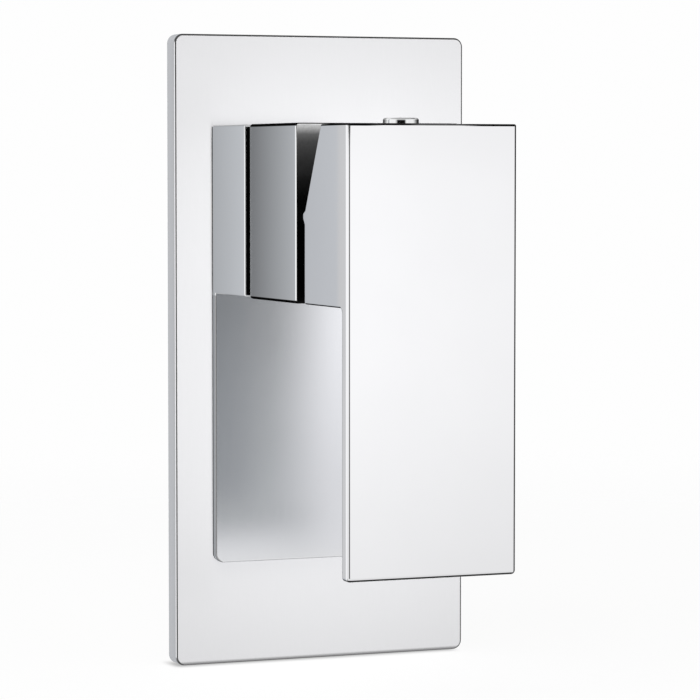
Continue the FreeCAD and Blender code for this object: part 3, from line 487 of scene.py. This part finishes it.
# ------------------------------------------------------------------ pull knob
# a turned knob: waisted grip with three fine grooves, flared shoulder, rounded crown
def turned(name, profile, centre, segments=128):
    """Spin (radius, z) points in millimetres about an upright axis into a closed mesh."""
    mesh = bpy.data.meshes.new(name)
    bm = bmesh.new()
    rows = []
    for r, z in profile:
        if r < 1e-6:
            rows.append([bm.verts.new((centre[0], centre[1], centre[2] + z * MM))])
        else:
            rows.append([bm.verts.new((centre[0] + r * MM * math.cos(2 * math.pi * i / segments),
                                       centre[1] + r * MM * math.sin(2 * math.pi * i / segments),
                                       centre[2] + z * MM)) for i in range(segments)])
    for a, b in zip(rows, rows[1:] + rows[:1] if len(rows[0]) > 1 and len(rows[-1]) > 1 else rows[1:]):
        for i in range(segments):
            j = (i + 1) % segments
            if len(a) == 1 and len(b) == 1:
                break
            if len(a) == 1:
                bm.faces.new((a[0], b[j], b[i]))
            elif len(b) == 1:
                bm.faces.new((a[i], a[j], b[0]))
            else:
                bm.faces.new((a[i], a[j], b[j], b[i]))
    bmesh.ops.recalc_face_normals(bm, faces=bm.faces[:])
    for f in bm.faces:
        f.smooth = True
    for e in bm.edges:
        if len(e.link_faces) == 2 and e.calc_face_angle() > math.radians(38):
            e.smooth = False
    bm.to_mesh(mesh)
    bm.free()
    obj = bpy.data.objects.new(name, mesh)
    scene.collection.objects.link(obj)
    return obj


def arc(cx, cz, r, a0, a1, n):
    """Points of an arc in the (radius, z) plane, angles in degrees from the radius direction."""
    return [(cx + r * math.cos(math.radians(a0 + (a1 - a0) * i / n)), cz + r * math.sin(math.radians(a0 + (a1 - a0) * i / n))) for i in range(n + 1)]


knob_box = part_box("diverter_knob")
knob_axis = ((knob_box[0][0] + knob_box[1][0]) / 2, (knob_box[0][1] + knob_box[1][1]) / 2, 33.8 * MM)
grip = []
for z in (11.4, 12.8, 14.2):
    grip += [(3.9, z - 0.34), (3.72, z - 0.2), (3.66, z), (3.72, z + 0.2), (3.9, z + 0.34)]
knob_profile = ([(1.5, 7.9)] + arc(3.9, 8.3, 0.4, -90, 0, 5) + [(4.3, 9.5), (4.22, 9.85), (4.05, 10.2), (3.92, 10.55)] + grip
                + [(3.92, 15.1), (4.08, 15.6), (4.4, 16.4), (4.66, 16.9), (4.76, 17.15), (4.8, 17.4), (4.8, 20.1)]
                + [(4.79, 20.2), (4.72, 20.36), (4.58, 20.5), (4.46, 20.56), (4.405, 20.64), (4.392, 20.8), (4.386, 21.0), (4.37, 21.6)] + arc(3.77, 21.65, 0.60, 0, 90, 10)
                + [(2.0, 22.25), (0.0, 22.25), (0.0, 18.6), (1.5, 18.6)])
knob = turned("pull_knob", knob_profile, knob_axis)
knob.data.materials.append(knob_chrome)
knob.visible_glossy = False
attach(knob, "diverter")
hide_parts("diverter_knob")


# ------------------------------------------------------------------ return spring
# it stays on the bonnet at its top end, with the fixed pieces
def coil(name, centre, radius, wire, z0, z1, pitch, steps=40, sides=14):
    """A round wire wound right-handed about an upright axis, in millimetres, as a closed mesh."""
    mesh = bpy.data.meshes.new(name)
    bm = bmesh.new()
    count = int(round((z1 - z0) / pitch * steps))
    rise = pitch / (2 * math.pi * radius)
    rings = []
    for i in range(count + 1):
        a = 2 * math.pi * (z1 - z0) / pitch * i / count
        out = Vector((math.cos(a), math.sin(a), 0))
        up = Vector((math.sin(a) * rise, -math.cos(a) * rise, 1)).normalized()
        mid = out * radius + Vector((0, 0, z0 + (z1 - z0) * i / count))
        ring = [mid + (out * math.cos(2 * math.pi * k / sides) + up * math.sin(2 * math.pi * k / sides)) * wire for k in range(sides)]
        rings.append([bm.verts.new(Vector((centre[0], centre[1], 0)) + v * MM) for v in ring])
    for a, b in zip(rings, rings[1:]):
        for k in range(sides):
            n = (k + 1) % sides
            bm.faces.new((a[k], a[n], b[n], b[k])).smooth = True
    for ring in (rings[0], rings[-1]):
        bm.faces.new(ring)
    bmesh.ops.recalc_face_normals(bm, faces=bm.faces[:])
    for ring in (rings[0], rings[-1]):
        for k in range(sides):
            bm.edges.get((ring[k], ring[(k + 1) % sides])).smooth = False
    bm.to_mesh(mesh)
    bm.free()
    obj = bpy.data.objects.new(name, mesh)
    scene.collection.objects.link(obj)
    return obj


coil_low, coil_high = (v[2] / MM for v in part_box("diverter_spring"))
spring = coil("return_spring", knob_axis, 2.6, 0.35, coil_low + 0.36, coil_high - 0.36, 2.2)
spring.data.materials.append(steel_mat)
spring.visible_glossy = False
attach(spring, "fixed")
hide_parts("diverter_spring")
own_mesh(spring)

# ------------------------------------------------------------------ studio
# floor just under the plate, fading out into the white surround, with a painted contact shadow under the plate
floor_mesh = bpy.data.meshes.new("floor")
bm = bmesh.new()
bmesh.ops.create_circle(bm, cap_ends=True, segments=96, radius=1.2)
bm.to_mesh(floor_mesh)
bm.free()
floor = bpy.data.objects.new("floor", floor_mesh)
floor.location = (0, 0, cad_box[0][2] - 0.0006)
scene.collection.objects.link(floor)
m = Mat("floor_white")
d = m.add("ShaderNodeBsdfDiffuse")
d.inputs["Color"].default_value = (0.9, 0.9, 0.9, 1)
glow = m.add("ShaderNodeEmission")
glow.inputs["Color"].default_value = (1, 1, 1, 1)
fx, fy, fz = m.xyz()
# painted contact shadow: the floor's glow is dimmed over and round the plate's footprint
painted_floor_shadow = m.math("MULTIPLY", m.math("MULTIPLY", m.span(fy, -6.0 * MM, -0.8 * MM), m.span(fy, 9.0 * MM, 1.0 * MM)), m.span(m.math("ABSOLUTE", fx), 38.5 * MM, 35.0 * MM))
m.join(m.span(painted_floor_shadow, 0.0, 1.0, 1.12, 0.52, smooth=False), glow.inputs["Strength"])
pale = m.add("ShaderNodeMixShader")
pale.inputs[0].default_value = 0.80
m.join(d.outputs[0], pale.inputs[1])
m.join(glow.outputs[0], pale.inputs[2])
tr = m.add("ShaderNodeBsdfTransparent")
ln = m.add("ShaderNodeVectorMath", operation="LENGTH")
m.join(m.where(), ln.inputs[0])
mx = m.add("ShaderNodeMixShader")
m.join(m.span(ln.outputs["Value"], 0.25, 0.6), mx.inputs[0])
m.join(pale.outputs[0], mx.inputs[1])
m.join(tr.outputs[0], mx.inputs[2])
m.join(mx.outputs[0], m.out.inputs["Surface"])
floor_mesh.materials.append(m.m)
floor.visible_glossy = False
floor.visible_diffuse = False

# surround: white to the eye, a ring of soft boxes and flags to the metal
world = bpy.data.worlds.new("studio")
scene.world = world
world.use_nodes = True
world.cycles.sampling_method = "NONE"
wt = world.node_tree
wt.nodes.clear()


def wadd(kind, **props):
    n = wt.nodes.new(kind)
    for k, v in props.items():
        setattr(n, k, v)
    return n


def wmath(op, a, b=0.0):
    n = wadd("ShaderNodeMath", operation=op)
    for i, v in enumerate((a, b)):
        if isinstance(v, bpy.types.NodeSocket):
            wt.links.new(v, n.inputs[i])
        else:
            n.inputs[i].default_value = v
    return n.outputs[0]


def wramp(fac, stops):
    n = wadd("ShaderNodeValToRGB")
    n.color_ramp.interpolation = "LINEAR"
    e = n.color_ramp.elements
    while len(e) < len(stops):
        e.new(0.5)
    for el, (deg, v) in zip(e, stops):
        el.position = deg / 360.0 + 0.5
        el.color = (v, v, v, 1)
    wt.links.new(fac, n.inputs["Fac"])
    return n.outputs["Color"]


def wmix(fac, a, b):
    n = wadd("ShaderNodeMix", data_type="RGBA")
    for sock, v in ((n.inputs[0], fac), (n.inputs[6], a), (n.inputs[7], b)):
        if isinstance(v, bpy.types.NodeSocket):
            wt.links.new(v, sock)
        else:
            sock.default_value = v
    return n.outputs[2]


def wspan(value, a, b):
    n = wadd("ShaderNodeMapRange", interpolation_type="SMOOTHSTEP")
    wt.links.new(value, n.inputs["Value"])
    n.inputs["From Min"].default_value = a
    n.inputs["From Max"].default_value = b
    return n.outputs["Result"]


sep = wadd("ShaderNodeSeparateXYZ")
wt.links.new(wadd("ShaderNodeTexCoord").outputs["Generated"], sep.inputs[0])
# turn: 0 at the front (-Y), positive to the right (+X); rise: degrees above the horizon
turn = wmath("ADD", wmath("DIVIDE", wmath("ARCTAN2", sep.outputs["X"], wmath("MULTIPLY", sep.outputs["Y"], -1.0)), 2 * math.pi), 0.5)
rise = wmath("MULTIPLY", wmath("ARCSINE", sep.outputs["Z"]), 180.0 / math.pi)


def wscale(colour, a, b, at_a, at_b):
    """Dim a colour by a factor that runs from at_a to at_b between two rises."""
    fade = wadd("ShaderNodeMapRange", interpolation_type="SMOOTHSTEP")
    wt.links.new(rise, fade.inputs["Value"])
    for k, v in (("From Min", a), ("From Max", b), ("To Min", at_a), ("To Max", at_b)):
        fade.inputs[k].default_value = v
    dim = wadd("ShaderNodeMix", data_type="RGBA", blend_type="MULTIPLY")
    dim.inputs[0].default_value = 1.0
    wt.links.new(colour, dim.inputs[6])
    wt.links.new(fade.outputs["Result"], dim.inputs[7])
    return dim.outputs[2]


# round the horizon: white boxes left, front and right, a dark slot at the viewer, dark behind
sides = [(-180, 0.95), (-171, 0.85), (-164, 0.14), (-155, 0.14), (-148, 0.90), (-118, 0.95), (-62, 1.0)]
front = [(19, 1.0), (22.0, 1.045), (22.7, 1.02), (23.3, 1.0), (24.3, 0.985), (25.1, 0.965), (26, 0.95), (60, 0.95)]
rights = front + [(84, 0.9), (120, 0.85), (132, 0.14), (164, 0.14), (171, 0.85), (180, 0.95)]
ring = wramp(turn, [(-180, 0.03), (-134, 0.03), (-126, 0.2), (-118, 0.7), (-111, 1.0), (-66, 0.95), (-60, 0.55), (-54, 0.25), (-47, 0.03), (-44, 0.004), (-6, 0.006), (0, 0.06), (12, 0.92)]
             + front + [(70, 0.65), (80, 0.3), (88, 0.05), (180, 0.03)])
ring_mid = wramp(turn, sides + [(-50, 0.55), (-44, 0.006), (2, 0.006), (12, 0.92)] + rights)
# below eye level the slot is narrower, and it ends a little lower
slot = [(-40, 0.95), (-32, 0.12), (-28, 0.008), (-17, 0.008), (-13, 0.12), (-5, 0.92)]
ring_low = wramp(turn, sides + slot + rights)
# and just under eye level its flanks are dark, for the knob's ends
ring_eye = wramp(turn, [(-180, 0.03), (-134, 0.03), (-126, 0.2), (-118, 0.7), (-111, 1.0), (-62, 1.0)] + slot + front + [(70, 0.65), (80, 0.3), (88, 0.05), (180, 0.03)])
ring_open = wramp(turn, sides + rights)
# the front boxes reach up to about 48 degrees, the slot to about 40; a rear box stands higher
upper = wramp(turn, [(-180, 0.40), (-150, 0.40), (-140, 0.9), (-62, 1.0), (-50, 0.7), (-44, 0.42), (2, 0.42), (12, 0.92), (60, 1.0), (84, 0.8), (120, 0.6), (134, 0.40), (180, 0.40)])
high = wramp(turn, [(-180, 0.8), (-130, 0.8), (-118, 0.85), (-62, 0.65), (60, 0.6), (76, 0.45), (110, 0.3), (130, 0.08), (158, 0.08), (168, 0.8), (180, 0.8)])
lower = wramp(turn, [(-180, 0.45), (-90, 0.50), (-60, 0.80), (60, 0.80), (90, 0.50), (180, 0.45)])
env = wmix(wspan(rise, -3.8, -3.2), ring_low, ring_eye)
env = wmix(wspan(rise, 0.45, 0.75), env, ring)
env = wmix(wspan(rise, 1.4, 2.2), env, ring_mid)
env = wscale(env, -0.6, 0.9, 1.0, 0.955)
env = wmix(wspan(rise, -8.5, -11.5), env, ring_open)
env = wmix(wspan(rise, 6.0, 12.0), env, upper)
env = wmix(wspan(rise, 30.0, 36.0), env, high)
env = wmix(wspan(rise, 48.0, 58.0), env, (0.45, 0.45, 0.45, 1))
env = wmix(wspan(rise, -14.0, -24.0), wscale(env, -9.5, -2.6, 0.82, 1.0), lower)
path = wadd("ShaderNodeLightPath")
lit = wmix(path.outputs["Is Diffuse Ray"], env, (0.15, 0.15, 0.15, 1))
lit = wmix(path.outputs["Is Camera Ray"], lit, (0.99, 0.99, 0.99, 1))
bg = wadd("ShaderNodeBackground")
wt.links.new(lit, bg.inputs["Color"])
wo = wadd("ShaderNodeOutputWorld")
wt.links.new(bg.outputs[0], wo.inputs["Surface"])



def glossy_card(name, corners, paint, window=None):
    """A card seen only in reflections, and only from its front; window: where it is solid, 0 to 1."""
    mesh = bpy.data.meshes.new(name)
    bm = bmesh.new()
    bm.faces.new([bm.verts.new(v) for v in corners])
    bm.to_mesh(mesh)
    bm.free()
    obj = bpy.data.objects.new(name, mesh)
    scene.collection.objects.link(obj)
    m = Mat(name)
    em = m.add("ShaderNodeEmission")
    m.put(em.inputs["Color"], paint(m))
    clear = m.add("ShaderNodeBsdfTransparent")
    mx = m.add("ShaderNodeMixShader")
    hide = m.add("ShaderNodeNewGeometry").outputs["Backfacing"]
    if window is not None:
        hide = m.math("MAXIMUM", hide, m.math("SUBTRACT", 1.0, window(m)))
    m.join(hide, mx.inputs[0])
    m.join(em.outputs[0], mx.inputs[1])
    m.join(clear.outputs[0], mx.inputs[2])
    m.join(mx.outputs[0], m.out.inputs["Surface"])
    mesh.materials.append(m.m)
    for ray in ("visible_camera", "visible_diffuse", "visible_shadow", "visible_transmission", "visible_volume_scatter"):
        setattr(obj, ray, False)
    return obj


def upright(x0, x1, y, z0, z1):
    """Corners of an upright card that faces the front."""
    return [Vector((x, y, z)) * MM for x, z in ((x0, z0), (x1, z0), (x1, z1), (x0, z1))]


# grey card behind and left of the plate, seen in the metal's left faces
def left_paint(m):
    x, y, z = m.xyz()
    cool = ((0.968, 1.0, 1.045), (0.995, 1.0, 1.01))
    grey = [(-75, 1.0), (-68.6, 1.0), (-67.6, 0.62), (-65.0, 0.60), (-64.1, 0.555), (-56.5, 0.518), (-53.7, 0.465), (-42.0, 0.20), (-41.15, 0.195), (-41.0, 0.60), (-39.0, 0.555), (-32.0, 0.45), (-28.0, 0.44)]
    return m.ramp(m.span(x, -75 * MM, -28 * MM, smooth=False), [((g - -75) / 47.0, tuple(v * c for c in cool[g < -64.5])) for g, v in grey])


glossy_card("left_card", upright(-260, -28.0, 4.0, -200, 84), left_paint)
# grey card in the plate's hollow: what the lever's back sees of the plate
def plate_paint(m):
    x, y, z = m.xyz()
    up = m.ramp(m.span(z, -60 * MM, 0.0, smooth=False), [(0.0, (0.430, 0.452, 0.473)), (0.6, (0.384, 0.404, 0.423)), (1.0, (0.332, 0.350, 0.366))])
    right = m.ramp(m.span(x, 28 * MM, 60 * MM, smooth=False), [(0.0, (0.70,) * 3), (0.17, (0.74,) * 3), (0.34, (0.82,) * 3), (1.0, (1.0,) * 3)])
    return m.times(up, right)


glossy_card("plate_card", upright(-27.9, 75, -2.95, -73, 10), plate_paint)


# bright card close beside the plate's left front edge, seen by its fine round only
def edge_paint(m):
    x, y, z = m.xyz()
    return m.ramp(m.span(z, -76 * MM, 76 * MM, smooth=False), [(0.0, (0.95, 0.95, 0.96)), (0.5, (1.0, 1.0, 1.01)), (1.0, (0.93, 0.93, 0.94))])


glossy_card("edge_card", [Vector(v) * MM for v in ((-37.9, -5.35, -75), (-37.9, -4.55, -75), (-37.9, -4.55, 75), (-37.9, -5.35, 75))], edge_paint)


# white card close over the plate's narrow left strip, seen by that strip only
def strip_paint(m):
    x, y, z = m.xyz()
    return m.ramp(m.span(z, -54 * MM, 54 * MM, smooth=False), [(0.0, (0.80,) * 3), (0.5, (0.80,) * 3), (0.75, (0.805,) * 3), (1.0, (0.85,) * 3)])


def strip_window(m):
    x, y, z = m.xyz()
    return m.math("MULTIPLY", m.span(z, -66 * MM, -49 * MM), m.span(z, 70 * MM, 53 * MM))


glossy_card("strip_card", upright(-28.25, -38.6, -6.0, -66, 70), strip_paint, strip_window)


# graded cards beside and below the lever, behind its plane: they shade the panel
def shade_paint(m):
    x, y, z = m.xyz()
    low = m.span(z, -42 * MM, 2 * MM, smooth=False)
    dark = m.ramp(low, [(0.0, (0.355, 0.375, 0.391)), (1.0, (0.230, 0.240, 0.250))])
    light = m.ramp(low, [(0.0, (0.788, 0.79, 0.818)), (1.0, (1.028, 1.03, 1.062))])
    rate = [(12, 0.03), (17, 0.12), (22, 0.31), (27, 0.58), (32, 0.88), (35, 1.0), (80, 1.0)]
    across = m.math("ADD", x, m.span(z, 4 * MM, -26 * MM, -1.4 * MM, 1.1 * MM))
    share = m.ramp(m.span(across, 12 * MM, 80 * MM, smooth=False), [((g - 12) / 68.0, (v, v, v)) for g, v in rate])
    level = m.math("ADD", z, m.span(x, 26 * MM, 6 * MM, 0.15 * MM, 0.6 * MM))
    pale = m.ramp(m.span(level, -61.0 * MM, -46.0 * MM, smooth=False),
                  [(0.0, (0.885, 0.889, 0.917)), (0.27, (0.836, 0.84, 0.868)), (0.43, (0.703, 0.71, 0.735)), (0.60, (0.44, 0.452, 0.47)), (0.80, (0.33, 0.344, 0.36))])
    foot = m.span(z, -46.0 * MM, -49.0 * MM)
    return m.mix(m.math("MULTIPLY", foot, m.math("SUBTRACT", 1.0, share)), m.mix(share, dark, light), pale)


glossy_card("shade_card", upright(80, 12.3, -88.2, -46.1, 30), shade_paint)
glossy_card("shade_card_low", upright(80, -28.2, -88.2, -61.0, -46.2), shade_paint)


# broad soft key from above left, for the floor's soft shadow and the matt pieces
key_data = bpy.data.lights.new("key", "AREA")
key_data.shape = "RECTANGLE"
key_data.size, key_data.size_y = 0.9, 0.6
key_data.energy = 3.0
key = bpy.data.objects.new("key", key_data)
key.location = (-0.5, -0.5, 0.9)
key.rotation_euler = (Vector((0, 0, 0)) - Vector(key.location)).to_track_quat("-Z", "Y").to_euler()
key.visible_glossy = False
key.visible_camera = False
scene.collection.objects.link(key)

# even fills without shadows: a strong one on the fronts, a weak one on the left sides
for name, strength, way in (("front_fill", 1.25, (-0.25, 0.9, -0.35)), ("left_fill", 1.0, (1.0, 0.0, -0.1))):
    data = bpy.data.lights.new(name, "SUN")
    data.energy = strength
    data.angle = math.radians(20)
    data.use_shadow = False
    lamp = bpy.data.objects.new(name, data)
    lamp.rotation_euler = Vector(way).to_track_quat("-Z", "Y").to_euler()
    lamp.visible_glossy = False
    scene.collection.objects.link(lamp)

# a soft pool of light on the plate round the cover
pool_data = bpy.data.lights.new("pool", "SPOT")
pool_data.energy = 5.3
pool_data.spot_size = math.radians(21.7)
pool_data.spot_blend = 1.0
pool_data.shadow_soft_size = 0.02
pool_data.use_shadow = False
pool = bpy.data.objects.new("pool", pool_data)
pool.location = (0.010, -0.5, 0.0)
pool.rotation_euler = Vector((0, 1, 0)).to_track_quat("-Z", "Y").to_euler()
pool.visible_glossy = False
scene.collection.objects.link(pool)

# ------------------------------------------------------------------ refresh
bpy.context.view_layer.update()
